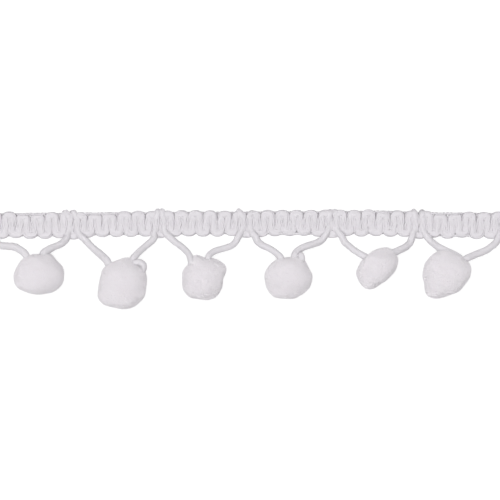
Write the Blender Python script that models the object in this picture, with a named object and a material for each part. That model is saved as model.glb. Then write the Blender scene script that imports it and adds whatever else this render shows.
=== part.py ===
"""Pompom fringe trim: a short cut length, lying face up on the surface.

A braided heading carries six swags of one soft cord, and a trimmed yarn pompom is threaded on the
middle of each swag. X runs along the trim, Y points from the pompoms to the heading, and Z is up.
The tables measure Y from the middle of the heading's width, and the finished trim is moved so that
the origin is under the middle of its outline. Sizes are in millimetres until MM turns them into
metres.
"""

import math
from typing import NamedTuple

import bmesh
import bpy
from mathutils import Matrix, Vector

MM = 0.001

# The cord sets every other size of the braid.
CORD_DIAMETER = 1.55
STITCH = 2 * CORD_DIAMETER  # one run up the heading and one down, side by side
STITCHES_PER_SWAG = 6
SWAG = STITCH * STITCHES_PER_SWAG
SWAGS = 6
CUT_STITCHES = 1  # what is left past the last swag at each cut end

HEADING_LENGTH = SWAG * SWAGS + 2 * STITCH * CUT_STITCHES
HEADING_WIDTH = 5.0
HEADING_THICKNESS = 1.8
HEADING_BOW = 0.45  # how far the ends lie towards the pompoms from a straight line
GROOVE = 0.35  # depth between two runs of the braid's cord
TURN_RISE = 0.15  # how far each turn of the braid's cord stands out at the edges
SECTIONS_PER_STITCH = 4

# At each end of a swag its cord climbs the heading's face, turns over the top edge and comes down.
CROSSING_HALF_WIDTH = 1.3
CROSSING_RIDGE = 0.7
CROSSING_EDGE_RISE = 0.4

LEG_HEIGHT = 1.3  # of a swag cord's middle where it leaves the heading
LEG_STRAIGHT = 0.4
CORE_TURN = 0.9  # how widely a swag's cord turns round its pompom's core

CLEARANCE = 0.3
FLAT_SPOT = 0.25  # how much of a pompom's round is pressed flat on the surface
POMPOM_SEGMENTS = 20
POMPOM_RINGS = 12

WHITE_BRAID = (0.78, 0.77, 0.79)
WHITE_CORD = (0.80, 0.79, 0.81)
WHITE_PILE = (0.82, 0.81, 0.83)


class Lump(NamedTuple):
    """A place where the pile was trimmed long, or short if rise is below 0."""

    direction: float  # degrees from +X, in the plane of the trim
    rise: float
    spread: float  # degrees


class Pompom(NamedTuple):
    along: float  # of its centre, from the swag's middle
    drop: float  # of its centre, from the middle of the heading
    half_width: float
    half_length: float
    half_height: float
    turn: float  # degrees about Z
    lumps: tuple


class Swag(NamedTuple):
    """A cord from the heading through its pompom and back: (along, Y, Z) of each point."""

    left_leg: float  # where the cord leaves the heading's lower edge, from the swag's middle
    left: tuple
    core: tuple
    right: tuple
    right_leg: float
    pompom: Pompom


SWAG_TABLE = (
    Swag(
        left_leg=-7.5,
        left=((-7.1, -4.2, 1.7), (-6.0, -4.8, 2.3), (-4.0, -4.9, 3.2), (-2.1, -5.8, 4.1),
              (-0.6, -7.2, 4.6)),
        core=(1.4, -10.0, 4.5),
        right=((3.2, -7.0, 4.8), (4.4, -5.6, 4.1), (6.2, -4.7, 2.9), (7.2, -4.0, 1.9)),
        right_leg=7.5,
        pompom=Pompom(1.6, -11.0, 5.4, 4.3, 4.5, 0,
                      (Lump(-55, 0.4, 20), Lump(159, -0.4, 20), Lump(60, 0.4, 16))),
    ),
    Swag(
        left_leg=-7.4,
        left=((-6.7, -3.7, 1.6), (-4.9, -4.9, 2.6), (-3.1, -6.5, 3.7), (-1.5, -8.3, 4.7)),
        core=(0.9, -12.4, 4.8),
        right=((3.3, -8.2, 5.0), (4.0, -7.1, 4.6), (5.6, -5.7, 3.4), (7.3, -4.4, 2.2)),
        right_leg=8.1,
        pompom=Pompom(1.1, -13.2, 5.0, 5.0, 4.8, 0,
                      (Lump(212, 0.8, 17), Lump(41, 1.4, 12), Lump(-60, 0.3, 18))),
    ),
    Swag(
        left_leg=-7.1,
        left=((-6.2, -3.8, 1.7), (-5.0, -4.6, 2.7), (-3.4, -5.9, 4.0), (-2.0, -7.6, 5.4)),
        core=(-0.3, -11.2, 4.6),
        right=((1.1, -7.7, 4.9), (1.8, -6.1, 4.3), (3.6, -5.4, 3.3), (5.6, -4.9, 2.5),
               (6.9, -4.2, 1.9)),
        right_leg=7.6,
        pompom=Pompom(0.1, -11.7, 4.4, 4.5, 4.4, 0,
                      (Lump(30, 0.6, 17), Lump(234, 0.6, 20), Lump(-75, 0.25, 14),
                       Lump(-35, -0.2, 16))),
    ),
    Swag(
        left_leg=-7.4,
        left=((-6.8, -3.8, 1.7), (-5.7, -4.7, 2.6), (-3.7, -6.1, 3.8), (-2.2, -7.7, 4.7)),
        core=(-0.1, -11.0, 4.6),
        right=((1.8, -7.4, 4.9), (1.8, -6.2, 4.4), (3.0, -5.2, 3.6), (5.2, -4.5, 2.6),
               (6.8, -3.8, 1.8)),
        right_leg=7.4,
        pompom=Pompom(-0.2, -11.6, 5.1, 4.4, 4.6, 0,
                      (Lump(234, 0.5, 16), Lump(56, 0.8, 13))),
    ),
    Swag(
        left_leg=-7.3,
        left=((-6.4, -3.9, 1.8), (-5.1, -4.9, 2.7), (-3.1, -6.4, 3.9), (-1.8, -7.4, 4.4)),
        core=(0.2, -9.5, 4.3),
        right=((2.9, -6.5, 4.5), (4.0, -5.7, 4.0), (5.7, -4.9, 3.0), (7.2, -3.9, 1.8)),
        right_leg=7.7,
        pompom=Pompom(0.0, -9.6, 5.1, 3.6, 4.4, 44,
                      (Lump(8, 0.3, 18), Lump(215, 0.2, 20))),
    ),
    Swag(
        left_leg=-7.2,
        left=((-6.7, -3.9, 1.8), (-5.8, -4.6, 2.7), (-4.6, -5.6, 3.8), (-3.9, -7.0, 4.7)),
        core=(-3.2, -10.2, 4.8),
        right=((-0.2, -8.0, 5.0), (1.6, -7.1, 4.4), (3.7, -6.2, 3.5), (5.8, -5.1, 2.6),
               (7.2, -4.2, 1.9)),
        right_leg=7.7,
        pompom=Pompom(-3.6, -10.9, 5.0, 4.7, 4.7, 0,
                      (Lump(233, 1.0, 20), Lump(100, 0.4, 35), Lump(-45, -0.3, 25),
                       Lump(28, 0.4, 14))),
    ),
)


def clear_scene():
    for obj in list(bpy.data.objects):
        bpy.data.objects.remove(obj)


def fabric(name, colour, roughness):
    material = bpy.data.materials.new(name)
    material.use_nodes = True
    surface = material.node_tree.nodes["Principled BSDF"]
    surface.inputs["Base Color"].default_value = (*colour, 1)
    surface.inputs["Roughness"].default_value = roughness
    surface.inputs["Metallic"].default_value = 0
    return material


def add_object(name, data, parent, place=(0, 0, 0)):
    obj = bpy.data.objects.new(name, data)
    bpy.context.scene.collection.objects.link(obj)
    obj.parent = parent
    obj.location = Vector(place) * MM
    return obj


def mesh_from(bm, name, material):
    bmesh.ops.recalc_face_normals(bm, faces=bm.faces)
    mesh = bpy.data.meshes.new(name)
    bm.to_mesh(mesh)
    bm.free()
    mesh.materials.append(material)
    mesh.shade_smooth()
    return mesh


def swag_middle(index):
    """X of the middle of a swag, counted from 0 at the left."""
    return (index - (SWAGS - 1) / 2) * SWAG


def crossing_ridges(x):
    """1 on each of the two runs of swag cord at a crossing, and 0 away from them."""
    crossings = [(k - SWAGS / 2) * SWAG for k in range(SWAGS + 1)]
    runs = [c + side * CROSSING_HALF_WIDTH for c in crossings for side in (-1, 1)]
    nearest = min(abs(x - run) for run in runs)
    return math.exp(-((nearest / (0.6 * CORD_DIAMETER)) ** 2))


def heading_edge(x, side):
    """Y of the braid's upper edge (side 1) or lower edge (side -1) at x."""
    bow = -HEADING_BOW * (2 * x / HEADING_LENGTH) ** 2
    turns = -TURN_RISE * math.cos(2 * math.pi * x / STITCH)
    return bow + turns + side * (HEADING_WIDTH / 2 + CROSSING_EDGE_RISE * crossing_ridges(x))


def heading_ring(x):
    """The braid's section at x, as a ring of points: flat on the back, rounded at the edges."""
    rib = 0.5 - 0.5 * math.cos(2 * math.pi * x / CORD_DIAMETER)
    top = heading_edge(x, 1)
    low = heading_edge(x, -1)
    crest = HEADING_THICKNESS - GROOVE * (1 - rib) + CROSSING_RIDGE * crossing_ridges(x)
    # (distance in from an edge, share of the thickness), from the back round to the face
    edge = ((0.5, 0.0), (0.08, 0.28), (0.0, 0.52), (0.2, 0.84), (0.75, 1.0))
    upper = [(top - inset, share * crest) for inset, share in edge]
    lower = [(low + inset, share * crest) for inset, share in reversed(edge)]
    return [(x, y, z) for y, z in upper + lower]


def heading_mesh(material):
    bm = bmesh.new()
    steps = round(HEADING_LENGTH / STITCH) * SECTIONS_PER_STITCH
    rings = []
    for k in range(steps + 1):
        x = -HEADING_LENGTH / 2 + k * HEADING_LENGTH / steps
        rings.append([bm.verts.new(Vector(point) * MM) for point in heading_ring(x)])
    for ring, following in zip(rings, rings[1:]):
        for k in range(len(ring)):
            bm.faces.new((ring[k - 1], ring[k], following[k], following[k - 1]))
    bm.faces.new(rings[0])
    bm.faces.new(rings[-1])
    return mesh_from(bm, "heading", material)


def leg_points(index, leg):
    """The straight start of a swag's cord, square to the heading and clear of its lower edge."""
    x = swag_middle(index) + leg
    edge = min(heading_edge(x + across * CORD_DIAMETER / 2, -1) for across in (-1, 0, 1))
    top = Vector((leg, edge - CLEARANCE, LEG_HEIGHT))
    return [top, top - Vector((0, LEG_STRAIGHT, 0))]


def smooth_route(points):
    """The points, with a point between each two on a smooth curve through them all."""
    before = 2 * points[0] - points[1]
    after = 2 * points[-1] - points[-2]
    route = [points[0]]
    for a, b, c, d in zip([before, *points], points, points[1:], [*points[2:], after]):
        route += [(9 * (b + c) - (a + d)) / 16, c]
    return route


def swag_route(index):
    """Out of the heading, down to the pompom's waist, round its core and back up."""
    swag = SWAG_TABLE[index]
    core = Vector(swag.core)
    turn = [core + Vector((side * CORE_TURN, CORE_TURN / 2, 0)) for side in (-1, 1)]
    down = leg_points(index, swag.left_leg) + [Vector(point) for point in swag.left]
    back = leg_points(index, swag.right_leg) + [Vector(point) for point in reversed(swag.right)]
    return smooth_route([*down, turn[0], core, turn[1], *reversed(back)])


def swag_curve(name, index, radius, material=None):
    """A round cord along the swag's route, with closed ends."""
    curve = bpy.data.curves.new(name, "CURVE")
    curve.dimensions = "3D"
    curve.bevel_depth = radius * MM
    curve.bevel_resolution = 2
    curve.use_fill_caps = True
    route = swag_route(index)
    spline = curve.splines.new("POLY")
    spline.points.add(len(route) - 1)
    for spline_point, point in zip(spline.points, route):
        spline_point.co = (*(point * MM), 1)
    if material:
        curve.materials.append(material)
    return curve


def pompom_mesh(name, pompom, material):
    """A trimmed ball about its own centre, with its lumps and the flat spot that it rests on."""
    bm = bmesh.new()
    bmesh.ops.create_uvsphere(bm, u_segments=POMPOM_SEGMENTS, v_segments=POMPOM_RINGS, radius=1)
    halves = Matrix.Diagonal((pompom.half_width, pompom.half_length, pompom.half_height))
    turned = Matrix.Rotation(math.radians(pompom.turn), 3, "Z") @ halves
    floor = -centre_height(pompom)
    for vert in bm.verts:
        point = turned @ vert.co
        outwards = point.normalized()
        for lump in pompom.lumps:
            angle = math.radians(lump.direction)
            towards = Vector((math.cos(angle), math.sin(angle), 0))
            away = math.degrees(outwards.angle(towards)) / lump.spread
            point += outwards * lump.rise * math.exp(-(away**2))
        point.z = max(point.z, floor)
        vert.co = point * MM
    return mesh_from(bm, name, material)


def centre_height(pompom):
    return pompom.half_height - FLAT_SPOT


def cut_cord_hole(pompom_object, name, index, trim):
    """The way through the pompom for its swag's cord, a running clearance wider than the cord."""
    radius = CORD_DIAMETER / 2 + CLEARANCE
    x = swag_middle(index)
    guide = add_object(name + "_guide", swag_curve(name + "_guide", index, radius), trim, (x, 0, 0))
    guide.hide_render = True
    bpy.context.view_layer.update()
    evaluated = guide.evaluated_get(bpy.context.evaluated_depsgraph_get())
    bm = bmesh.new()
    bm.from_mesh(evaluated.to_mesh())
    evaluated.to_mesh_clear()
    bpy.data.objects.remove(guide)
    bmesh.ops.remove_doubles(bm, verts=bm.verts, dist=0.001 * MM)
    bmesh.ops.recalc_face_normals(bm, faces=bm.faces)
    mesh = bpy.data.meshes.new(name + "_hole")
    bm.to_mesh(mesh)
    bm.free()
    cutter = add_object(name + "_hole", mesh, trim, (x, 0, 0))
    cutter.hide_render = True
    cutter.display_type = "WIRE"
    hole = pompom_object.modifiers.new("cord_hole", "BOOLEAN")
    hole.operation = "DIFFERENCE"
    hole.object = cutter


def centre_over_origin(trim):
    """Move the trim, with all that hangs on it, so that the origin is under its middle."""
    solids = [obj for obj in trim.children if obj.type == "MESH" and not obj.hide_render]
    points = [obj.location + vert.co for obj in solids for vert in obj.data.vertices]
    for axis in (0, 1):
        along = [point[axis] for point in points]
        trim.location[axis] = -(min(along) + max(along)) / 2


def main():
    clear_scene()
    braid = fabric("braid_yarn", WHITE_BRAID, 0.85)
    cord = fabric("swag_cord", WHITE_CORD, 0.8)
    pile = fabric("pompom_pile", WHITE_PILE, 0.95)
    trim = add_object("trim", None, None)
    add_object("heading", heading_mesh(braid), trim)
    for k, swag in enumerate(SWAG_TABLE):
        x = swag_middle(k)
        name = f"swag_{k + 1}"
        add_object(name, swag_curve(name, k, CORD_DIAMETER / 2, cord), trim, (x, 0, 0))
        ball = f"pompom_{k + 1}"
        centre = (x + swag.pompom.along, swag.pompom.drop, centre_height(swag.pompom))
        pompom = add_object(ball, pompom_mesh(ball, swag.pompom, pile), trim, centre)
        cut_cord_hole(pompom, ball, k, trim)
    centre_over_origin(trim)


main()
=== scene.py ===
import math
import random

import bpy
import numpy as np
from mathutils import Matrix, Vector, noise


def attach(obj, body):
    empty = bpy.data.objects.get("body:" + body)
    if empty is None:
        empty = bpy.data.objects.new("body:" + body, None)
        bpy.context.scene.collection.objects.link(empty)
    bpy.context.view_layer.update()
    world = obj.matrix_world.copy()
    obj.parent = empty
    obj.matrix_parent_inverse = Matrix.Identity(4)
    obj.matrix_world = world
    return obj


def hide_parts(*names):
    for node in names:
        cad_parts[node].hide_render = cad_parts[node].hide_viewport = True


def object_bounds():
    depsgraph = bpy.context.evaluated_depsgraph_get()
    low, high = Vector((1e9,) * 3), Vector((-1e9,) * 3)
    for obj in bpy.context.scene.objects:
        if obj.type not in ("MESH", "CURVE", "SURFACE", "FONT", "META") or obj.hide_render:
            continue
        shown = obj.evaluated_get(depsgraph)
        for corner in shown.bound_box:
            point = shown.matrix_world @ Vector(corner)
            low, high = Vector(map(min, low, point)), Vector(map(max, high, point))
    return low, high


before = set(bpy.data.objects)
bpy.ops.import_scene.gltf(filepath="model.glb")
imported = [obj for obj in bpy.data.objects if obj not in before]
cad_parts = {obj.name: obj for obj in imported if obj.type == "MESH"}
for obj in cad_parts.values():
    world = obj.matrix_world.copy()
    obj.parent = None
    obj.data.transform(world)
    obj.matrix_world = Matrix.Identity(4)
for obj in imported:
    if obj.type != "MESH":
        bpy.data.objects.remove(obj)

# A short length of white pompom trim lying face up: a braided heading, swags of one soft cord
# along its lower edge, and a pompom of trimmed yarn on each swag. Sizes are in millimetres until
# MM turns them into metres. X runs along the trim, Y from the pompoms to the heading.

MM = 0.001
cad_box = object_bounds()

STITCH = 3.1  # one run up the heading and one down
STITCHES_A_SWAG = 6
SWAG = STITCHES_A_SWAG * STITCH
SWAGS = 6
STITCHES = SWAGS * STITCHES_A_SWAG + 2  # one more past the last swag at each cut end
HEADING_LENGTH = STITCHES * STITCH
MIDDLE_TO_TOP = 3.0218  # from the heading's middle line to the top of its tallest turn
HEADING_Y = cad_box[1][1] / MM - MIDDLE_TO_TOP


# ---------------------------------------------------------------- camera, floor and light

def place_camera():
    """Straight above the trim, a little below the heading, on a long lens."""
    lens_to_floor, lens_to_trim, width_seen, sensor = 1000.0, 997.0, 107.5, 36
    right, below = 0.8, 5.74  # of the heading's middle
    data = bpy.data.cameras.new("camera")
    data.sensor_width = sensor
    data.lens = sensor * lens_to_trim / width_seen
    data.clip_start = 0.05
    data.clip_end = 20
    camera = bpy.data.objects.new("camera", data)
    camera.location = Vector((right, HEADING_Y - below, lens_to_floor)) * MM
    bpy.context.scene.collection.objects.link(camera)
    bpy.context.scene.camera = camera


def lay_floor():
    """A wide round floor whose edge sweeps up, so that it ends in no line."""
    flat, sweep, sides, steps = 2.2, 0.25, 48, 8
    under_the_trim = 0.02 * MM
    turns = [0.5 * math.pi * k / steps for k in range(steps + 1)]
    rings = [(flat + sweep * math.sin(t), sweep * (1 - math.cos(t))) for t in turns]
    around = [2 * math.pi * k / sides for k in range(sides)]
    verts = [(r * math.cos(a), r * math.sin(a), z - under_the_trim) for r, z in rings for a in around]
    faces = [tuple(range(sides))]
    for row in range(steps):
        for k in range(sides):
            low, high, onward = row * sides, (row + 1) * sides, (k + 1) % sides
            faces.append((low + k, high + k, high + onward, low + onward))
    mesh = bpy.data.meshes.new("floor")
    mesh.from_pydata(verts, [], faces)
    mesh.shade_smooth()
    floor = bpy.data.objects.new("floor", mesh)
    bpy.context.scene.collection.objects.link(floor)
    return floor


def hang_lights():
    """A broad soft light above, a weaker one to the left and in front, and a dim pale room."""
    for name, place, size, energy in (
            ("overhead_softbox", Vector((0.0, 0.1, 1.5)), 1.6, 25.0),
            ("side_softbox", Vector((-1.0, -0.4, 1.2)), 0.9, 5.5)):
        data = bpy.data.lights.new(name, "AREA")
        data.shape = "DISK"
        data.size = size
        data.energy = energy
        softbox = bpy.data.objects.new(name, data)
        softbox.location = place
        softbox.rotation_euler = place.to_track_quat("Z", "Y").to_euler()
        bpy.context.scene.collection.objects.link(softbox)
    world = bpy.data.worlds.new("room")
    world.use_nodes = True
    background = world.node_tree.nodes["Background"]
    background.inputs["Color"].default_value = (1, 1, 1, 1)
    background.inputs["Strength"].default_value = 0.2
    bpy.context.scene.world = world
    bpy.context.scene.view_settings.view_transform = "Standard"


# ---------------------------------------------------------------- nodes

def add(tree, kind, inputs=None, **settings):
    """Add a node with its settings, and link or set its inputs."""
    made = tree.nodes.new(kind)
    for name, value in settings.items():
        setattr(made, name, value)
    for key, value in (inputs or {}).items():
        if isinstance(value, bpy.types.NodeSocket):
            tree.links.new(value, made.inputs[key])
        else:
            made.inputs[key].default_value = value
    return made


def colour(code):
    """The linear colour of an sRGB hex value."""
    parts = [int(code[k:k + 2], 16) / 255 for k in (0, 2, 4)]
    return (*[c / 12.92 if c <= 0.04045 else ((c + 0.055) / 1.055) ** 2.4 for c in parts], 1)


def new_tree(name, inputs):
    """A Geometry Nodes tree with a geometry in and out, and these named inputs."""
    tree = bpy.data.node_groups.new(name, "GeometryNodeTree")
    tree.interface.new_socket("Geometry", in_out="INPUT", socket_type="NodeSocketGeometry")
    for label, kind in inputs:
        tree.interface.new_socket(label, in_out="INPUT", socket_type="NodeSocket" + kind)
    tree.interface.new_socket("Geometry", in_out="OUTPUT", socket_type="NodeSocketGeometry")
    return tree, tree.nodes.new("NodeGroupInput").outputs, tree.nodes.new("NodeGroupOutput")


STRAY_THICKNESS = 0.04 * MM  # about twice a real fibre's, so that it shows


def fibre_tree():
    """Tapered fibres all over a surface, gathered into tufts and each leaning a little.

    Fibres are longest in the middle of their tuft. Each keeps a tone, from 0.5 to 1, that is half
    its own and half its tuft's. Lower tones are left to the bare core between them, which the
    pile's material paints in its darker colour as painted shade among the roots.
    """
    lean_and_spin = Vector((1, 1, 3))  # it turns about its own length more than it leans
    longest, shorter_outwards = 1.15, -0.5
    # fibres start halfway up the tones, so the core at tone 0 keeps the darkest colour: painted shade
    darkest_tone, tone_share = 0.5, 0.25
    tree, given, result = new_tree("cut_fibres", (
        ("Density", "Float"), ("Length", "Float"), ("Unevenness", "Float"), ("Thickness", "Float"),
        ("Lean", "Float"), ("Tuft Size", "Float"), ("Gathering", "Float"), ("Seed", "Int")))
    roots = add(tree, "GeometryNodeDistributePointsOnFaces", {
        "Mesh": given["Geometry"], "Density": given["Density"], "Seed": given["Seed"]})
    root = add(tree, "GeometryNodeInputPosition").outputs[0]
    tuft = add(tree, "ShaderNodeTexVoronoi", {
        "Vector": root,
        "Scale": add(tree, "ShaderNodeMath", {0: 1.0, 1: given["Tuft Size"]},
                     operation="DIVIDE").outputs[0]})
    inward = add(tree, "ShaderNodeVectorMath", {0: tuft.outputs["Position"], 1: root},
                 operation="SUBTRACT")
    pull = add(tree, "ShaderNodeMath", {0: given["Gathering"], 1: given["Tuft Size"]},
               operation="DIVIDE")
    gathered = add(tree, "ShaderNodeVectorMath", {0: inward.outputs[0], "Scale": pull.outputs[0]},
                   operation="SCALE")
    direction = add(tree, "ShaderNodeVectorMath", {
        0: roots.outputs["Normal"], 1: gathered.outputs[0]}, operation="ADD")
    upright = add(tree, "FunctionNodeAlignRotationToVector", {"Vector": direction.outputs[0]},
                  axis="Z")
    lowest = add(tree, "ShaderNodeVectorMath", {0: -lean_and_spin, "Scale": given["Lean"]},
                 operation="SCALE")
    highest = add(tree, "ShaderNodeVectorMath", {0: lean_and_spin, "Scale": given["Lean"]},
                  operation="SCALE")
    lean = add(tree, "FunctionNodeRandomValue", {
        "Min": lowest.outputs[0], "Max": highest.outputs[0], "Seed": given["Seed"]},
        data_type="FLOAT_VECTOR")
    leaning = add(tree, "FunctionNodeRotateRotation", {
        "Rotation": upright.outputs[0],
        "Rotate By": add(tree, "FunctionNodeEulerToRotation", {0: lean.outputs[0]}).outputs[0]},
        rotation_space="LOCAL")
    shortest = add(tree, "ShaderNodeMath", {0: 1.0, 1: given["Unevenness"]},
                   operation="SUBTRACT")
    share = add(tree, "FunctionNodeRandomValue", {
        2: shortest.outputs[0], 3: 1.0, "Seed": given["Seed"]}, data_type="FLOAT")
    outwards = add(tree, "ShaderNodeMath", {
        0: tuft.outputs["Distance"], 1: given["Gathering"]}, operation="MULTIPLY")
    domed = add(tree, "ShaderNodeMath", {0: outwards.outputs[0], 1: shorter_outwards, 2: longest},
                operation="MULTIPLY_ADD")
    trimmed = add(tree, "ShaderNodeMath", {0: domed.outputs[0], 1: given["Length"]},
                  operation="MULTIPLY")
    length = add(tree, "ShaderNodeMath", {0: share.outputs[1], 1: trimmed.outputs[0]},
                 operation="MULTIPLY")
    half = add(tree, "ShaderNodeMath", {0: given["Thickness"], 1: 0.5}, operation="MULTIPLY")
    fibre = add(tree, "GeometryNodeMeshCone", {
        "Vertices": 3, "Radius Top": 0.0, "Radius Bottom": half.outputs[0], "Depth": 1.0})
    size = add(tree, "ShaderNodeCombineXYZ", {0: 1.0, 1: 1.0, 2: length.outputs[0]})
    standing = add(tree, "GeometryNodeInstanceOnPoints", {
        "Points": roots.outputs["Points"], "Instance": fibre.outputs["Mesh"],
        "Rotation": leaning.outputs[0], "Scale": size.outputs[0]})
    own = add(tree, "FunctionNodeRandomValue", {"Seed": given["Seed"]}, data_type="FLOAT")
    shared = add(tree, "ShaderNodeSeparateXYZ", {0: tuft.outputs["Color"]})
    tone = add(tree, "ShaderNodeMath", {
        0: add(tree, "ShaderNodeMath", {0: own.outputs[1], 1: shared.outputs[0]},
               operation="ADD").outputs[0], 1: tone_share, 2: darkest_tone},
        operation="MULTIPLY_ADD")
    toned = add(tree, "GeometryNodeStoreNamedAttribute", {
        "Geometry": standing.outputs[0], "Name": "tone", "Value": tone.outputs[0]},
        data_type="FLOAT", domain="INSTANCE")
    real = add(tree, "GeometryNodeRealizeInstances", {"Geometry": toned.outputs[0]})
    tree.links.new(real.outputs[0], result.inputs[0])
    return tree


def on_the_surface(tree, geometry):
    """Press whatever is below the surface that the trim lies on flat against it."""
    place = add(tree, "ShaderNodeSeparateXYZ", {0: add(tree, "GeometryNodeInputPosition").outputs[0]})
    height = add(tree, "ShaderNodeMath", {0: place.outputs[2], 1: 0.0}, operation="MAXIMUM")
    pressed = add(tree, "ShaderNodeCombineXYZ", {
        0: place.outputs[0], 1: place.outputs[1], 2: height.outputs[0]})
    return add(tree, "GeometryNodeSetPosition", {
        "Geometry": geometry, "Position": pressed.outputs[0]}).outputs[0]


def finish_tree(tree, result, geometry, material):
    """End a tree in real meshes of one material."""
    real = add(tree, "GeometryNodeRealizeInstances", {"Geometry": geometry})
    faced = add(tree, "GeometryNodeSetMaterial", {
        "Geometry": real.outputs[0], "Material": material})
    tree.links.new(faced.outputs[0], result.inputs[0])


def section_point(tree, given, angle):
    """Across and up from a bundle's middle at an angle, on a circle of 1 pressed flat and square."""
    across = add(tree, "ShaderNodeMath", {0: angle}, operation="COSINE").outputs[0]
    up = add(tree, "ShaderNodeMath", {0: angle}, operation="SINE").outputs[0]
    nearest = add(tree, "ShaderNodeMath", {
        0: add(tree, "ShaderNodeMath", {0: across}, operation="ABSOLUTE").outputs[0],
        1: add(tree, "ShaderNodeMath", {0: up}, operation="ABSOLUTE").outputs[0]},
        operation="MAXIMUM")
    less = add(tree, "ShaderNodeMath", {0: given["Squareness"], 1: -1.0}, operation="MULTIPLY")
    corner = add(tree, "ShaderNodeMath", {0: nearest.outputs[0], 1: less.outputs[0]},
                 operation="POWER").outputs[0]
    flat = add(tree, "ShaderNodeMath", {0: corner, 1: given["Flatness"]}, operation="MULTIPLY")
    return (add(tree, "ShaderNodeMath", {0: across, 1: corner}, operation="MULTIPLY").outputs[0],
            add(tree, "ShaderNodeMath", {0: up, 1: flat.outputs[0]},
                operation="MULTIPLY").outputs[0])


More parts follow.
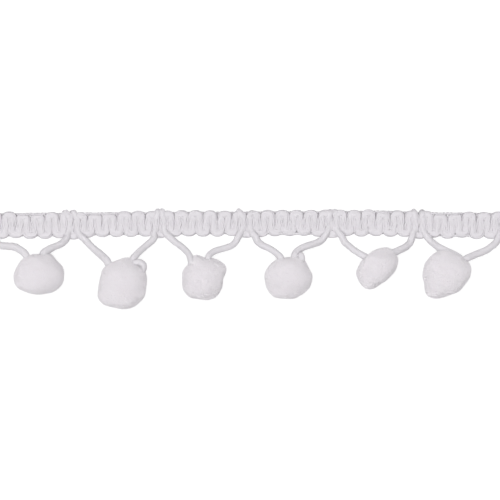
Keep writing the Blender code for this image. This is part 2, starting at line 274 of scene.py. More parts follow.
def yarn_tree(fibres):
    """A bundle of strands laid round each path, with a few stray fibres on it.

    The path's girth attribute narrows and swells the bundle. Each strand wanders in its own way
    and keeps three attributes for the material: its tone, how far along it each point is, and
    which way is outward from the middle of the bundle.
    """
    waves_per_metre, strand_to_strand = 900.0, 7.31
    heart_sides = 10
    tree, given, result = new_tree("yarn_bundle", (
        ("Strands", "Int"), ("Sides", "Int"), ("Yarn Radius", "Float"), ("Strand Radius", "Float"),
        ("Step", "Float"), ("Turns per Metre", "Float"), ("Flatness", "Float"),
        ("Squareness", "Float"), ("Looseness", "Float"), ("Heart", "Float"), ("Fuzz Density", "Float"),
        ("Seed", "Int"), ("Yarn", "Material")))
    path = add(tree, "GeometryNodeMeshToCurve", {"Mesh": given["Geometry"]})
    even = add(tree, "GeometryNodeResampleCurve", {
        "Curve": path.outputs[0], "Length": given["Step"]}, mode="LENGTH")
    girth = add(tree, "GeometryNodeInputNamedAttribute", {"Name": "girth"}, data_type="FLOAT")
    girthed = add(tree, "GeometryNodeSetCurveRadius", {
        "Curve": even.outputs[0], "Radius": girth.outputs[0]})
    upright = add(tree, "GeometryNodeSetCurveNormal", {"Curve": girthed.outputs[0]}, mode="Z_UP")
    strands = add(tree, "GeometryNodeDuplicateElements", {
        "Geometry": upright.outputs[0], "Amount": given["Strands"]}, domain="SPLINE")
    index = strands.outputs["Duplicate Index"]
    along = add(tree, "GeometryNodeSplineParameter").outputs["Length"]

    wander_at = add(tree, "ShaderNodeCombineXYZ", {
        0: add(tree, "ShaderNodeMath", {0: along, 1: waves_per_metre},
               operation="MULTIPLY").outputs[0],
        1: add(tree, "ShaderNodeMath", {0: index, 1: strand_to_strand},
               operation="MULTIPLY").outputs[0],
        2: given["Seed"]})
    wander = add(tree, "ShaderNodeTexNoise", {
        "Vector": wander_at.outputs[0], "Scale": 1.0, "Detail": 1.0})
    drift = add(tree, "ShaderNodeSeparateXYZ", {0: wander.outputs["Color"]})

    place = add(tree, "ShaderNodeMath", {0: index, 1: given["Strands"]}, operation="DIVIDE")
    turned = add(tree, "ShaderNodeMath", {
        0: along, 1: given["Turns per Metre"], 2: place.outputs[0]}, operation="MULTIPLY_ADD")
    loose = add(tree, "ShaderNodeMath", {0: drift.outputs[0], 1: 0.5}, operation="SUBTRACT")
    loosened = add(tree, "ShaderNodeMath", {
        0: loose.outputs[0], 1: given["Looseness"], 2: turned.outputs[0]},
        operation="MULTIPLY_ADD")
    angle = add(tree, "ShaderNodeMath", {0: loosened.outputs[0], 1: 2 * math.pi},
                operation="MULTIPLY").outputs[0]
    inner = add(tree, "ShaderNodeMath", {
        0: given["Yarn Radius"], 1: given["Strand Radius"]}, operation="SUBTRACT")
    puff = add(tree, "ShaderNodeMath", {0: drift.outputs[1], 1: 0.5}, operation="SUBTRACT")
    puffed = add(tree, "ShaderNodeMath", {
        0: puff.outputs[0], 1: given["Looseness"], 2: 1.0}, operation="MULTIPLY_ADD")
    across, up = section_point(tree, given, angle)
    reach = add(tree, "ShaderNodeMath", {
        0: add(tree, "ShaderNodeMath", {0: inner.outputs[0], 1: puffed.outputs[0]},
               operation="MULTIPLY").outputs[0],
        1: girth.outputs[0]}, operation="MULTIPLY").outputs[0]
    sideways = add(tree, "ShaderNodeMath", {0: across, 1: reach}, operation="MULTIPLY")
    upwards = add(tree, "ShaderNodeMath", {0: up, 1: reach}, operation="MULTIPLY")
    normal = add(tree, "GeometryNodeInputNormal").outputs[0]
    binormal = add(tree, "ShaderNodeVectorMath", {
        0: add(tree, "GeometryNodeInputTangent").outputs[0], 1: normal},
        operation="CROSS_PRODUCT").outputs[0]
    offset = add(tree, "ShaderNodeVectorMath", {
        0: add(tree, "ShaderNodeVectorMath", {0: normal, "Scale": sideways.outputs[0]},
               operation="SCALE").outputs[0],
        1: add(tree, "ShaderNodeVectorMath", {0: binormal, "Scale": upwards.outputs[0]},
               operation="SCALE").outputs[0]}, operation="ADD")
    outward = add(tree, "ShaderNodeVectorMath", {0: offset.outputs[0]}, operation="NORMALIZE")
    kept = add(tree, "GeometryNodeStoreNamedAttribute", {
        "Geometry": strands.outputs["Geometry"], "Name": "outward", "Value": outward.outputs[0]},
        data_type="FLOAT_VECTOR", domain="POINT")
    laid = add(tree, "GeometryNodeSetPosition", {
        "Geometry": kept.outputs[0], "Offset": offset.outputs[0]})
    tone = add(tree, "FunctionNodeRandomValue", {"ID": index, "Seed": given["Seed"]},
               data_type="FLOAT")
    toned = add(tree, "GeometryNodeStoreNamedAttribute", {
        "Geometry": laid.outputs[0], "Name": "tone", "Value": tone.outputs[1]},
        data_type="FLOAT", domain="CURVE")
    measured = add(tree, "GeometryNodeStoreNamedAttribute", {
        "Geometry": toned.outputs[0], "Name": "along", "Value": along},
        data_type="FLOAT", domain="POINT")
    ring = add(tree, "GeometryNodeCurvePrimitiveCircle", {
        "Resolution": given["Sides"], "Radius": given["Strand Radius"]})
    round_ring = add(tree, "GeometryNodeStoreNamedAttribute", {
        "Geometry": ring.outputs[0], "Name": "around",
        "Value": add(tree, "GeometryNodeInputPosition").outputs[0]},
        data_type="FLOAT_VECTOR", domain="POINT")
    outside = add(tree, "GeometryNodeCurveToMesh", {
        "Curve": measured.outputs[0], "Profile Curve": round_ring.outputs[0], "Fill Caps": True})
    heart_radius = add(tree, "ShaderNodeMath", {
        0: given["Strand Radius"], 1: given["Heart"], 2: inner.outputs[0]},
        operation="MULTIPLY_ADD").outputs[0]
    heart = add(tree, "GeometryNodeCurvePrimitiveCircle", {"Resolution": heart_sides, "Radius": 1.0})
    round_it = add(tree, "ShaderNodeMath", {
        0: add(tree, "GeometryNodeSplineParameter").outputs["Factor"], 1: 2 * math.pi},
        operation="MULTIPLY").outputs[0]
    heart_across, heart_up = section_point(tree, given, round_it)
    heart_place = add(tree, "ShaderNodeVectorMath", {
        0: add(tree, "ShaderNodeCombineXYZ", {0: heart_across, 1: heart_up}).outputs[0],
        "Scale": heart_radius}, operation="SCALE")
    heart_section = add(tree, "GeometryNodeSetPosition", {
        "Geometry": heart.outputs[0], "Position": heart_place.outputs[0]})
    inside = add(tree, "GeometryNodeCurveToMesh", {
        "Curve": upright.outputs[0], "Profile Curve": heart_section.outputs[0],
        "Fill Caps": True})
    bundle = add(tree, "GeometryNodeJoinGeometry")
    tree.links.new(outside.outputs[0], bundle.inputs[0])
    tree.links.new(inside.outputs[0], bundle.inputs[0])
    smooth = add(tree, "GeometryNodeSetShadeSmooth", {"Geometry": bundle.outputs[0]})
    fuzz = add(tree, "GeometryNodeGroup", {
        "Geometry": outside.outputs[0], "Density": given["Fuzz Density"], "Length": 0.6 * MM,
        "Unevenness": 0.7, "Thickness": STRAY_THICKNESS, "Lean": 1.1, "Tuft Size": 1.0 * MM,
        "Gathering": 0.0, "Seed": given["Seed"]}, node_tree=fibres)
    whole = add(tree, "GeometryNodeJoinGeometry")
    tree.links.new(smooth.outputs[0], whole.inputs[0])
    tree.links.new(fuzz.outputs[0], whole.inputs[0])
    finish_tree(tree, result, on_the_surface(tree, whole.outputs[0]), given["Yarn"])
    return tree


def pile_tree(fibres):
    """A trimmed ball of cut yarn: dense short pile over a core, and a few longer strays.

    A tapered point of the pile stands for a small lock of fibres, which are too fine to show alone.
    """
    tree, given, result = new_tree("trimmed_pile", (
        ("Density", "Float"), ("Length", "Float"), ("Thickness", "Float"), ("Tuft Size", "Float"),
        ("Stray Density", "Float"), ("Stray Length", "Float"), ("Seed", "Int"),
        ("Pile", "Material")))
    # The core gets no tone, so the pile's material gives it the full shade colour: painted shade where
    # it shows between the tufts.
    ball = add(tree, "GeometryNodeStoreNamedAttribute", {
        "Geometry": given["Geometry"], "Name": "outward",
        "Value": add(tree, "GeometryNodeInputNormal").outputs[0]},
        data_type="FLOAT_VECTOR", domain="POINT").outputs[0]
    smooth = add(tree, "GeometryNodeSetShadeSmooth", {"Geometry": ball})
    whole = add(tree, "GeometryNodeJoinGeometry")
    tree.links.new(smooth.outputs[0], whole.inputs[0])
    for density, length, unevenness, thickness, lean, gathering in (
            (given["Density"], given["Length"], 0.35, given["Thickness"], 0.25, 0.15),
            (given["Stray Density"], given["Stray Length"], 0.6, STRAY_THICKNESS, 0.8, 0.0)):
        grown_on = add(tree, "GeometryNodeGroup", {
            "Geometry": ball, "Density": density, "Length": length, "Unevenness": unevenness,
            "Thickness": thickness, "Lean": lean, "Tuft Size": given["Tuft Size"],
            "Gathering": gathering, "Seed": given["Seed"]}, node_tree=fibres)
        tree.links.new(grown_on.outputs[0], whole.inputs[0])
    finish_tree(tree, result, on_the_surface(tree, whole.outputs[0]), given["Pile"])
    return tree


def grown(name, mesh, tree, values):
    """The plain mesh that a tree makes of this one."""
    seed_object = bpy.data.objects.new(name, mesh)
    bpy.context.scene.collection.objects.link(seed_object)
    modifier = seed_object.modifiers.new("make", "NODES")
    modifier.node_group = tree
    for item in tree.interface.items_tree:
        if item.in_out == "INPUT" and item.name in values:
            modifier[item.identifier] = values[item.name]
    depsgraph = bpy.context.evaluated_depsgraph_get()
    made = bpy.data.meshes.new_from_object(seed_object.evaluated_get(depsgraph),
                                           preserve_all_data_layers=True, depsgraph=depsgraph)
    bpy.data.objects.remove(seed_object)
    made.name = name
    piece = bpy.data.objects.new(name, made)
    bpy.context.scene.collection.objects.link(piece)
    return piece


# ---------------------------------------------------------------- materials

def rounded_normal(tree, share):
    """A surface's facing, drawn this far towards that of the whole bundle or ball that it is on.

    Light that scatters among soft fibres shades them partly as one round body.
    """
    outward = add(tree, "ShaderNodeAttribute", attribute_name="outward").outputs["Vector"]
    drawn = add(tree, "ShaderNodeMix", {
        0: share, 4: add(tree, "ShaderNodeNewGeometry").outputs["Normal"], 5: outward},
        data_type="VECTOR")
    facing = add(tree, "ShaderNodeVectorMath", {0: drawn.outputs[1]}, operation="NORMALIZE")
    return facing.outputs[0]


def yarn_material(name, light, shade, roughness, sheen, gloss, fibre_mm, roundness):
    """Cloth fibre that runs along the strands, each strand a shade of its own.

    fibre_mm is the width of a streak, drawn several times as coarse as real filaments so that it
    shows. Roundness is how far the strands are shaded as one body.
    """
    along_to_across = 0.06
    material = bpy.data.materials.new(name)
    material.use_nodes = True
    tree = material.node_tree
    surface = tree.nodes["Principled BSDF"]
    along = add(tree, "ShaderNodeAttribute", attribute_name="along").outputs["Fac"]
    around = add(tree, "ShaderNodeAttribute", attribute_name="around").outputs["Vector"]
    lengthwise = add(tree, "ShaderNodeCombineXYZ", {
        2: add(tree, "ShaderNodeMath", {0: along, 1: along_to_across},
               operation="MULTIPLY").outputs[0]})
    place = add(tree, "ShaderNodeVectorMath", {0: around, 1: lengthwise.outputs[0]},
                operation="ADD").outputs[0]
    fibres = add(tree, "ShaderNodeTexNoise", {
        "Vector": place, "Scale": 1 / (fibre_mm * MM), "Detail": 2.0})
    tone = add(tree, "ShaderNodeAttribute", attribute_name="tone")
    uneven = add(tree, "ShaderNodeMath", {
        0: fibres.outputs["Fac"], 1: 0.5, 2: add(tree, "ShaderNodeMath", {
            0: tone.outputs["Fac"], 1: 0.5}, operation="MULTIPLY").outputs[0]},
        operation="MULTIPLY_ADD")
    mixed = add(tree, "ShaderNodeMix", {
        0: uneven.outputs[0], 6: colour(shade), 7: colour(light)}, data_type="RGBA")
    tree.links.new(mixed.outputs[2], surface.inputs["Base Color"])
    raised = add(tree, "ShaderNodeBump", {
        "Height": fibres.outputs["Fac"], "Strength": 0.25, "Distance": 0.5 * fibre_mm * MM,
        "Normal": rounded_normal(tree, roundness)})
    tree.links.new(raised.outputs[0], surface.inputs["Normal"])
    surface.inputs["Roughness"].default_value = roughness
    surface.inputs["Sheen Weight"].default_value = sheen
    surface.inputs["Sheen Roughness"].default_value = 0.5
    surface.inputs["Specular IOR Level"].default_value = gloss
    return material


def pile_material(name, light, shade):
    """Cut ends of soft yarn, each fibre and each tuft a shade of its own, with hardly any gloss."""
    material = bpy.data.materials.new(name)
    material.use_nodes = True
    tree = material.node_tree
    surface = tree.nodes["Principled BSDF"]
    tone = add(tree, "ShaderNodeAttribute", attribute_name="tone")
    # The core carries no tone and takes the shade colour in full: painted shade in the hollows between
    # the tufts. Among the fibres the tone varies only at random.
    mixed = add(tree, "ShaderNodeMix", {
        0: tone.outputs["Fac"], 6: colour(shade), 7: colour(light)}, data_type="RGBA")
    tree.links.new(mixed.outputs[2], surface.inputs["Base Color"])
    tree.links.new(rounded_normal(tree, share=0.35), surface.inputs["Normal"])
    surface.inputs["Roughness"].default_value = 1.0
    surface.inputs["Specular IOR Level"].default_value = 0.05
    return material


def floor_material():
    """Matt white acrylic lit from below, as on a light table, which leaves hardly any shadow."""
    material = bpy.data.materials.new("lit_matt_acrylic")
    material.use_nodes = True
    surface = material.node_tree.nodes["Principled BSDF"]
    surface.inputs["Base Color"].default_value = colour("808080")
    surface.inputs["Roughness"].default_value = 0.9
    surface.inputs["Specular IOR Level"].default_value = 0.1
    surface.inputs["Emission Color"].default_value = (1, 1, 1, 1)
    surface.inputs["Emission Strength"].default_value = 0.84
    return material


# ---------------------------------------------------------------- paths

# How far from the heading's middle line the edge cords and the binding threads lie.
EDGE_CORD_AT = 2.22
THREAD_AT = 1.38
# The stretches along the heading where each edge cord lies over the turns, not behind them.
TOP_IN_FRONT = ((-49.3, -42.8), (-35.8, -27.6), (27.7, 30.9), (39.9, 46.4))
BOTTOM_IN_FRONT = ((6.2, 13.7), (44.2, 48.1))


def bow(x):
    """How far the heading's middle line wavers to the side."""
    return np.interp(x, (-59, -45, -28, -12, 0, 15, 27, 35, 42, 59),
                     (-0.36, -0.34, -0.14, 0.04, 0.06, 0.04, 0.20, 0.0, -0.28, -0.38))


def breadth(x):
    """How much wider than usual the heading is on each side."""
    return np.interp(x, (-41, -28, -2, 8, 36, 45), (0.0, -0.1, -0.08, 0.0, 0.0, 0.05))


def smooth_route(points, steps):
    """A smooth curve through these points, with this many steps from each to the next."""
    route = [points[0]]
    before = 2 * points[0] - points[1]
    after = 2 * points[-1] - points[-2]
    for a, b, c, d in zip([before, *points], points, points[1:], [*points[2:], after]):
        for k in range(1, steps + 1):
            t = k / steps
            route.append(0.5 * ((2 * b) + (c - a) * t + (2 * a - 5 * b + 4 * c - d) * t ** 2
                                + (3 * b - a - 3 * c + d) * t ** 3))
    return route


def path_mesh(name, routes):
    """One chain of edges for each route of x, y, z and girth. The girth is kept as an attribute."""
    verts, edges, girths = [], [], []
    for route in routes:
        start = len(verts)
        verts += [(p[0] * MM, (p[1] + HEADING_Y) * MM, p[2] * MM) for p in route]
        girths += [p[3] for p in route]
        edges += [(k, k + 1) for k in range(start, len(verts) - 1)]
    mesh = bpy.data.meshes.new(name)
    mesh.from_pydata(verts, edges, [])
    mesh.attributes.new("girth", "FLOAT", "POINT").data.foreach_set("value", girths)
    return mesh


def in_front_share(x, stretches):
    """1 where an edge cord lies over the turns, 0 where it is behind them."""
    crossing = 0.8  # how far along it goes as it changes from behind to over
    near = max(min(x - start, end - x) for start, end in stretches)
    return min(max(near / crossing + 0.5, 0), 1)


def heading_route():
    """Up and down across the heading, each run full in its middle and bound in near its turns.

    A turn's first half is given as across from the turn's middle, out from the heading's middle
    line, and girth. Its second half mirrors it.
    """
    height, cut_end = 0.84, 1.7
    drawn_in, pulled_down = 0.20, 0.32  # a turn under an edge cord, and one where two swags meet
    rng = random.Random(11)
    top_turn = ((-0.72, -0.15, 1.27), (-0.71, 0.70, 1.23), (-0.71, 1.36, 1.05), (-0.76, 1.74, 1.08),
                (-0.38, 1.93, 1.04))
    bottom_turn = ((-0.76, 1.22, 1.16), (-0.84, 1.70, 1.14), (-0.42, 2.02, 1.08))
    points = []
    for k in range(2 * STITCHES - 1):
        side = 1 if k % 2 == 0 else -1
        centre = -HEADING_LENGTH / 2 + (k + 1) * STITCH / 2
        dx, dy, dz = (rng.uniform(-0.05, 0.05), rng.uniform(-0.10, 0.10), rng.uniform(-0.05, 0.05))
        dy -= drawn_in * in_front_share(centre, TOP_IN_FRONT if side > 0 else BOTTOM_IN_FRONT)
        if side < 0 and round(centre / STITCH) % STITCHES_A_SWAG == 0:
            dy = pulled_down
        full = rng.uniform(0.98, 1.04)
        into = top_turn if side > 0 else bottom_turn
        for across, out, girth in (*into, *((-x, y, g) for x, y, g in reversed(into))):
            outward = out + (dy + breadth(centre)) * min(abs(out), 1)
            points.append(np.array((centre + across + dx, side * outward, height + dz,
                                    girth * full)))
    points.insert(0, points[0] + np.array((-0.1, -cut_end, 0, 0)))
    points.append(points[-1] + np.array((0.0, -cut_end, 0, 0)))
    return [p + np.array((0, bow(p[0]), 0, 0)) for p in smooth_route(points, 4)]


def edge_route(side, in_front):
    """A thin cord along one edge: behind the turns, and over them in the stretches in front."""
    height_behind, rise, further_out, waver = 0.5, 1.0, 0.08, 0.05
    half = HEADING_LENGTH / 2
    points = []
    count = 4 * STITCHES
    for k in range(count + 1):
        x = -half + k * STITCH / 4
        share = in_front_share(x, in_front)
        wave = waver * math.cos(2 * math.pi * k / 4)
        across = EDGE_CORD_AT + wave + further_out * share + breadth(x)
        points.append(np.array((x, side * across + bow(x), height_behind + share * rise, 1.0)))
    return smooth_route(points, 3)


def thread_route(side):
    """A fine thread along the back that comes up between the turns to bind them."""
    back, between = 0.12, 1.15
    half = HEADING_LENGTH / 2
    points = []
    for k in range(2 * STITCHES):
        x = -half + (k + 0.5) * STITCH / 2
        holds = (k % 2 == 0) == (side > 0)
        points.append(np.array((x - STITCH / 4, side * THREAD_AT + bow(x),
                                between if holds else back, 1.0)))
        points.append(np.array((x, side * THREAD_AT + bow(x), back, 1.0)))
    return smooth_route(points, 3)


# Each swag's cord. Its tips are how far into the swag it shows over the heading's top edge on the
# left and right, and how high. Left and right give along, Y from the heading's middle, Z and girth
# of its points between the heading and the pompom. Core is the middle of its turn inside the ball.
SWAG_TABLE = (
    {"tips": ((0.6, 2.5), (1.8, 2.75)),
     "left": ((-7.7, -2.9, 1.65, 1.0), (-7.0, -4.35, 1.8, 1.05), (-6.1, -4.8, 2.3, 1.07),
              (-4.6, -4.9, 2.9, 1.1), (-3.3, -5.05, 3.5, 1.12), (-2.2, -5.6, 4.0, 1.1),
              (-1.2, -6.3, 4.4, 1.1), (-0.5, -7.3, 4.6, 1.0)),
     "core": (1.4, -10.0, 4.5),
     "right": ((2.9, -6.8, 4.8, 1.3), (4.0, -5.7, 4.1, 1.2), (5.3, -5.05, 3.4, 1.0),
               (6.6, -4.45, 2.6, 1.03), (7.5, -3.65, 1.9, 1.05), (7.9, -2.9, 1.65, 1.05))},
    {"tips": ((-0.1, 2.75), (0.35, 2.8)),
     "left": ((-7.3, -2.9, 1.65, 1.0), (-6.6, -3.75, 1.7, 1.0), (-5.2, -5.15, 2.6, 1.0),
              (-3.3, -6.8, 3.7, 1.13), (-2.0, -8.1, 4.7, 1.15)),
     "core": (0.9, -12.4, 4.8),
     "right": ((3.4, -8.2, 5.0, 1.1), (4.0, -7.1, 4.6, 1.05), (5.0, -6.0, 3.7, 0.94),
               (6.3, -4.85, 2.7, 0.94), (7.5, -3.85, 2.0, 1.0), (8.1, -2.9, 1.65, 1.05))},
    {"tips": ((0.35, 2.8), (1.6, 2.6)),
     "left": ((-7.2, -2.9, 1.65, 1.0), (-6.2, -3.85, 1.8, 0.95), (-5.1, -4.65, 2.6, 0.9),
              (-4.0, -5.55, 3.5, 0.82), (-3.0, -6.7, 4.7, 0.8), (-2.7, -7.7, 5.5, 0.8),
              (-2.3, -8.7, 5.9, 0.8)),
     "core": (-0.3, -11.2, 4.6),
     "right": ((1.1, -7.5, 5.0, 0.85), (1.6, -6.6, 4.5, 0.85), (2.7, -5.9, 3.8, 0.78),
               (4.45, -5.4, 3.0, 0.76), (5.85, -4.95, 2.5, 0.78), (6.85, -4.2, 2.0, 0.88),
               (7.55, -2.9, 1.65, 1.0))},
    {"tips": ((1.2, 2.2), (0.4, 2.5)),
     "left": ((-7.3, -2.9, 1.65, 1.1), (-6.85, -3.85, 1.8, 1.05), (-5.75, -4.75, 2.6, 1.0),
              (-4.15, -5.5, 3.5, 0.9), (-2.8, -6.45, 4.3, 0.95), (-1.8, -7.7, 4.9, 1.05)),
     "core": (-0.1, -11.0, 4.6),
     "right": ((1.05, -7.6, 5.0, 1.2), (1.3, -6.5, 4.5, 1.15), (2.25, -5.5, 3.7, 1.0),
               (3.75, -4.85, 3.1, 1.0), (5.35, -4.35, 2.4, 1.05), (6.7, -3.75, 1.9, 1.05),
               (7.5, -2.9, 1.65, 1.0))},
    {"tips": ((0.4, 2.5), (1.1, 2.6)),
     "left": ((-7.3, -2.9, 1.65, 1.05), (-6.7, -4.05, 1.8, 1.0), (-5.9, -4.75, 2.4, 0.95),
              (-4.85, -5.65, 3.1, 0.92), (-3.65, -6.45, 3.8, 0.9), (-2.2, -7.3, 4.4, 1.0)),
     "core": (0.2, -9.5, 4.3),
     "right": ((2.8, -6.7, 4.5, 1.2), (3.95, -6.25, 4.0, 1.12), (5.1, -5.7, 3.5, 1.05),
               (6.25, -5.15, 2.8, 1.05), (7.25, -4.3, 2.0, 1.05), (7.8, -2.9, 1.65, 1.0))},
    {"tips": ((0.7, 2.6), (0.6, 2.5)),
     "left": ((-7.4, -2.9, 1.65, 1.05), (-6.9, -3.7, 1.8, 1.0), (-6.1, -4.4, 2.4, 1.02),
              (-5.15, -5.2, 3.3, 1.02), (-4.5, -6.1, 4.0, 1.0), (-4.1, -7.1, 4.7, 1.0)),
     "core": (-3.2, -10.2, 4.8),
     "right": ((0.5, -7.7, 5.0, 1.0), (2.0, -7.0, 4.3, 1.05), (3.5, -6.4, 3.6, 1.03),
               (5.0, -5.8, 3.0, 1.03), (6.4, -4.85, 2.4, 1.0), (7.25, -4.1, 1.9, 1.0),
               (7.75, -2.9, 1.65, 1.0))},
)

BOUND_ABOVE = -3  # a swag's cord wavers with the heading where its Y is more than this
CORE_TURN = 0.9  # how widely a swag's cord turns inside its pompom
PILE_DEPTH = 0.18  # how much of a pompom's radius is the pile's tips
FLAT_SPOT = 0.25  # how deep the floor presses a pompom flat

# Each pompom's middle, half height, and outline seen from above: along and Y of its points.
POMPOM_TABLE = (
    {"middle": (1.7, -11.0), "half_height": 4.5,
     "outline": ((-1.5, -7.8), (-2.7, -9.4), (-3.4, -11.4), (-2.9, -13.4), (-1.0, -14.6),
                 (1.3, -15.1), (3.7, -15.0), (5.3, -14.5), (6.7, -13.3), (7.3, -11.6),
                 (7.1, -9.6), (5.8, -8.1), (4.5, -6.7), (2.3, -6.7), (0.1, -6.9))},
    {"middle": (1.2, -13.2), "half_height": 4.8,
     "outline": ((-2.7, -9.8), (-3.4, -11.8), (-3.8, -14.0), (-3.9, -15.8), (-2.9, -17.2),
                 (-0.9, -17.9), (1.8, -18.3), (4.2, -17.6), (5.8, -15.9), (6.4, -13.7),
                 (6.4, -11.4), (5.8, -9.8), (4.2, -8.3), (2.4, -7.5), (0.2, -8.0), (-1.6, -8.7))},
    {"middle": (0.1, -11.8), "half_height": 4.4,
     "outline": ((-3.1, -8.7), (-4.1, -10.1), (-4.4, -12.0), (-4.1, -14.2), (-2.9, -15.8),
                 (-0.8, -16.2), (1.3, -16.4), (2.9, -15.5), (4.0, -13.8), (4.3, -11.8),
                 (4.9, -9.8), (4.3, -8.6), (2.5, -7.7), (0.4, -7.5), (-1.5, -6.8), (-2.7, -7.4))},
    {"middle": (-0.2, -11.7), "half_height": 4.6,
     "outline": ((-3.0, -8.0), (-4.4, -9.2), (-5.2, -10.6), (-5.2, -12.3), (-4.7, -13.9),
                 (-3.5, -15.6), (-1.3, -16.1), (1.0, -16.0), (3.1, -14.9), (4.4, -13.2),
                 (4.8, -11.2), (4.0, -9.6), (3.2, -8.0), (2.3, -7.1), (0.5, -7.3), (-1.5, -7.6))},
    {"middle": (0.1, -9.6), "half_height": 4.4,
     "outline": ((-2.9, -8.0), (-3.9, -9.6), (-4.2, -11.0), (-3.5, -12.6), (-2.4, -13.8),
                 (-1.1, -14.1), (0.7, -13.1), (2.4, -11.9), (3.8, -10.4), (4.5, -8.9),
                 (4.4, -7.0), (3.3, -5.7), (1.5, -5.3), (-0.4, -5.9), (-2.0, -7.0))},
    {"middle": (-3.4, -10.9), "half_height": 4.7,
     "outline": ((-5.7, -6.3), (-7.1, -7.4), (-8.2, -9.1), (-8.5, -11.0), (-8.2, -13.0),
                 (-7.9, -14.8), (-7.1, -15.7), (-5.4, -16.1), (-3.1, -15.4), (-1.0, -14.6),
                 (0.6, -12.8), (1.5, -11.2), (1.6, -9.3), (0.4, -7.7), (-1.6, -6.3), (-3.6, -5.6))},
)

# Loose ends and loops of yarn that stand out of some pompoms beside the cord, in the same terms
# as a swag's cord, by the swag's number from the left.
LOOSE_YARN_TABLE = {
    2: ((3.0, -9.1, 5.2, 0.8), (3.9, -8.55, 5.8, 1.0), (4.95, -8.4, 6.1, 1.05),
        (5.75, -8.85, 6.0, 1.05), (5.9, -9.65, 5.6, 0.95), (5.45, -10.35, 5.2, 0.8),
        (4.5, -10.8, 5.0, 0.6)),
    4: ((2.1, -8.8, 5.4, 0.7), (2.55, -7.9, 5.6, 0.8), (2.6, -7.2, 5.4, 0.72),
        (2.3, -6.7, 5.0, 0.55)),
    6: ((-5.5, -4.85, 3.2, 0.5), (-4.3, -5.5, 4.2, 0.5), (-2.9, -6.15, 4.9, 0.5),
        (-1.5, -6.85, 5.2, 0.5), (-0.5, -7.5, 5.0, 0.45)),
}


def swag_middle(index):
    """Where a swag's middle is along the trim."""
    return (index - (SWAGS - 1) / 2) * SWAG


def climb(side, tip):
    """From behind the heading's top edge, through a run of it, out over its lower corner.

    The tip is how far into the swag the cord shows over the top edge, and how high. Each row is
    along from the swag's middle, Y from the heading's middle, Z and girth.
    """
    edge = SWAG / 2
    through = 0.72  # how far into the swag the cord goes down through the heading
    inward, top = tip
    rows = ((edge - inward, 2.05, 0.42, 0.75), (edge - inward, top - 0.06, 0.75, 0.92),
            (edge - 0.5 * (inward + through), 1.9, 1.15, 0.92), (edge - through, 1.2, 0.95, 0.8),
            (edge - 0.74, -0.3, 0.9, 0.8), (edge - 0.95, -1.35, 1.15, 0.95),
            (edge - 1.3, -2.15, 1.45, 1.0))
    return [np.array((-side * along, *rest)) for along, *rest in rows]


def swag_route(index):
    """One swag's cord, out of the heading, down round the pompom's middle and back."""
    swag = SWAG_TABLE[index]
    down = climb(1, swag["tips"][0]) + [np.array(row) for row in swag["left"]]
    back = climb(-1, swag["tips"][1]) + [np.array(row) for row in reversed(swag["right"])]
    core = np.array((*swag["core"], 1.0))
    turn = [core + np.array((side * CORE_TURN, CORE_TURN / 2, 0, 0)) for side in (-1, 1)]
    points = [*down, turn[0], core, turn[1], *reversed(back)]
    middle = swag_middle(index)
    return [p + np.array((middle, bow(p[0] + middle) if p[1] > BOUND_ABOVE else 0, 0, 0))
            for p in smooth_route(points, 5)]


# ---------------------------------------------------------------- pieces

def outline_reach(pompom):
    """How far the outline is from the middle in any direction, as angles and distances."""
    middle = np.array(pompom["middle"])
    points = [np.array(point) - middle for point in pompom["outline"]]
    ring = np.array(smooth_route([*points[-2:], *points, *points[:2]], 6))
    return np.arctan2(ring[:, 1], ring[:, 0]), np.hypot(ring[:, 0], ring[:, 1])


def make_pompom(index, tree, material):
    """A ball on its own outline, a little uneven, with the trimmed pile grown on it."""
    pompom = POMPOM_TABLE[index]
    half_height = pompom["half_height"]
    angles, distances = outline_reach(pompom)
    order = np.argsort(angles)
    mean = distances.mean()
    centre = Vector((swag_middle(index) + pompom["middle"][0],
                     HEADING_Y + pompom["middle"][1], half_height - FLAT_SPOT))
    bpy.ops.mesh.primitive_ico_sphere_add(subdivisions=5, radius=1)
    ball = bpy.context.object
    mesh = ball.data
    seed = Vector((7.3 * index, 1.7, -3.1))
    swell, swell_size, dent, dent_size = 0.14, 1.8, 0.05, 0.8
    for vert in mesh.vertices:
        reach = np.interp(math.atan2(vert.co.y, vert.co.x), angles[order], distances[order],
                          period=2 * math.pi)
        # The outline's own shape fades to round towards the top and the bottom.
        reach = mean + (reach - mean) * math.hypot(vert.co.x, vert.co.y) ** 3
        point = Vector((vert.co.x * reach, vert.co.y * reach, vert.co.z * half_height))
        uneven = swell * noise.noise(point / swell_size + seed)
        uneven += dent * noise.noise(point / dent_size + seed)
        point += point.normalized() * (uneven - PILE_DEPTH)
        vert.co = (point + centre) * MM
    bpy.data.objects.remove(ball)
    piece = grown(f"pompom_pile_{index + 1}", mesh, tree, {
        "Density": 8.4e7, "Length": 0.36 * MM, "Thickness": 0.14 * MM, "Tuft Size": 0.9 * MM,
        "Stray Density": 1.0e6, "Stray Length": 0.9 * MM, "Seed": 5 + index, "Pile": material})
    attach(piece, "root")
    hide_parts(f"pompom_{index + 1}")
    return piece


def make_swag(index, tree, material):
    """A swag's soft cord, and the loose yarn that stands out of its pompom."""
    routes = [swag_route(index)]
    if index + 1 in LOOSE_YARN_TABLE:
        middle = np.array((swag_middle(index), 0, 0, 0))
        loose = [np.array(row) + middle for row in LOOSE_YARN_TABLE[index + 1]]
        routes.append(smooth_route(loose, 4))
    piece = grown(f"swag_cord_{index + 1}", path_mesh("route", routes), tree, {
        "Strands": 11, "Sides": 5, "Yarn Radius": 0.77 * MM, "Strand Radius": 0.21 * MM,
        "Step": 0.3 * MM, "Turns per Metre": 70.0, "Flatness": 0.9, "Squareness": 0.0,
        "Looseness": 0.2, "Heart": 0.6, "Fuzz Density": 1.2e6, "Seed": 20 + index,
        "Yarn": material})
    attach(piece, "root")
    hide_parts(f"swag_{index + 1}")
    return piece


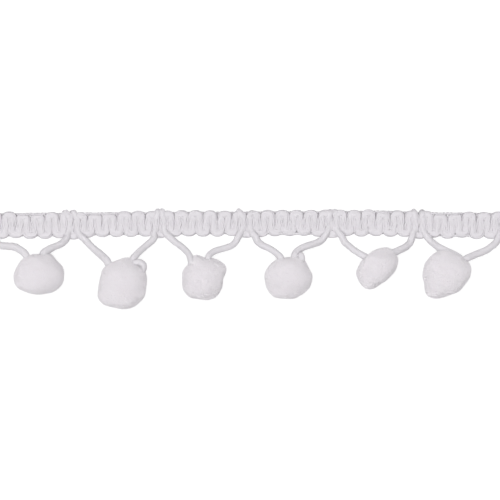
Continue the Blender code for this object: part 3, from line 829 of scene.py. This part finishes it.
def make_heading(tree, material):
    """The flat braid: one bulky yarn laid up and down."""
    piece = grown("heading_braid", path_mesh("route", [heading_route()]), tree, {
        "Strands": 15, "Sides": 4, "Yarn Radius": 0.84 * MM, "Strand Radius": 0.24 * MM,
        "Step": 0.31 * MM, "Turns per Metre": 25.0, "Flatness": 0.88, "Squareness": 0.8,
        "Looseness": 0.1, "Heart": 0.9, "Fuzz Density": 3e5, "Seed": 3, "Yarn": material})
    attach(piece, "root")
    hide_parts("heading")
    return piece


def make_bindings(tree, material):
    """The thin cords along the heading's two edges and the fine threads that bind its turns."""
    routes = (("edge_cords", [edge_route(1, TOP_IN_FRONT), edge_route(-1, BOTTOM_IN_FRONT)],
               0.32, 0.17, 420.0, 4),
              ("binding_threads", [thread_route(1), thread_route(-1)], 0.11, 0.06, 900.0, 3))
    for name, paths, radius, strand, turns, sides in routes:
        piece = grown(name, path_mesh("route", paths), tree, {
            "Strands": 3, "Sides": sides, "Yarn Radius": radius * MM, "Strand Radius": strand * MM,
            "Step": 0.32 * MM, "Turns per Metre": turns, "Flatness": 1.0, "Squareness": 0.0,
            "Looseness": 0.02, "Heart": 0.0, "Fuzz Density": 4e5, "Seed": 7, "Yarn": material})
        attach(piece, "root")


place_camera()
hang_lights()
lay_floor().data.materials.append(floor_material())

# Bulked polyester yarn: matt, with fine crimped filaments that blur the strands together.
yarn = yarn_material("bulked_polyester_yarn", light="D0CDD1", shade="CCC9CD", roughness=0.8,
                     sheen=0.1, gloss=0.25, fibre_mm=0.09, roundness=0.2)
# Low twist polyester cord: its strands lie side by side and catch a little light along them.
cord = yarn_material("low_twist_polyester_cord", light="D5D2D6", shade="CDCACE", roughness=0.7,
                     sheen=0.12, gloss=0.3, fibre_mm=0.08, roundness=0.45)
# Trimmed acrylic pile: cut ends of soft yarn that scatter light and show almost no gloss.
# The shade colour is partly random tone among the fibres and, in full on the bare core between the
# tufts, painted shade.
pile = pile_material("trimmed_acrylic_pile", light="EAE7EA", shade="E4E1E4")

fibres = fibre_tree()
bundle = yarn_tree(fibres)
trimmed_ball = pile_tree(fibres)

make_heading(bundle, yarn)
make_bindings(bundle, cord)
for k in range(SWAGS):
    make_swag(k, bundle, cord)
    make_pompom(k, trimmed_ball, pile)
